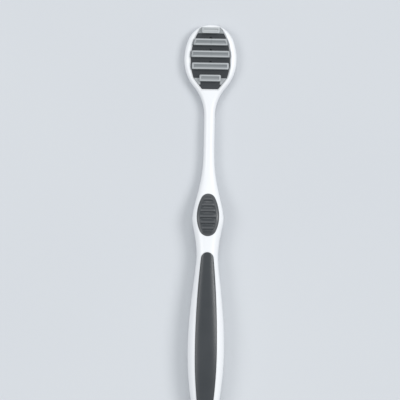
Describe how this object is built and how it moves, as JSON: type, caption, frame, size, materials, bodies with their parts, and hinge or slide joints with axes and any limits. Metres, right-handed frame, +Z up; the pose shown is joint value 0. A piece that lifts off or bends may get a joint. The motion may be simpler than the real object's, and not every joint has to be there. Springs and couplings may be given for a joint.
{
  "type": "tongue cleaner",
  "caption": "Brush-shaped tongue cleaner: oval head with a soft ribbed pad, slim neck, thumb rest with a soft grooved oval, and a swelling grip with a long soft inlay.",
  "frame": {"origin": "centre of the tool's footprint, on the plane that its back rests on", "axes": "+Y along the handle from the grip to the head, +Z up out of the ribbed face, +X across the ribs' length"},
  "size_m": [0.0248, 0.195, 0.0135],
  "materials": {
    "handle_plastic": "smooth moulded, satin to glossy white",
    "dark_soft_plastic": "matte dark grey soft plastic",
    "grey_soft_plastic": "matte light grey soft plastic"
  },
  "bodies": {
    "root": {"handle_body": "handle_plastic", "head_pad": "dark_soft_plastic", "scraper_rib_1": "grey_soft_plastic", "scraper_rib_2": "grey_soft_plastic", "scraper_rib_3": "grey_soft_plastic", "scraper_rib_4": "grey_soft_plastic", "scraper_rib_5": "grey_soft_plastic", "thumb_pad": "dark_soft_plastic", "grip_inlay": "dark_soft_plastic"}
  },
  "joints": []
}
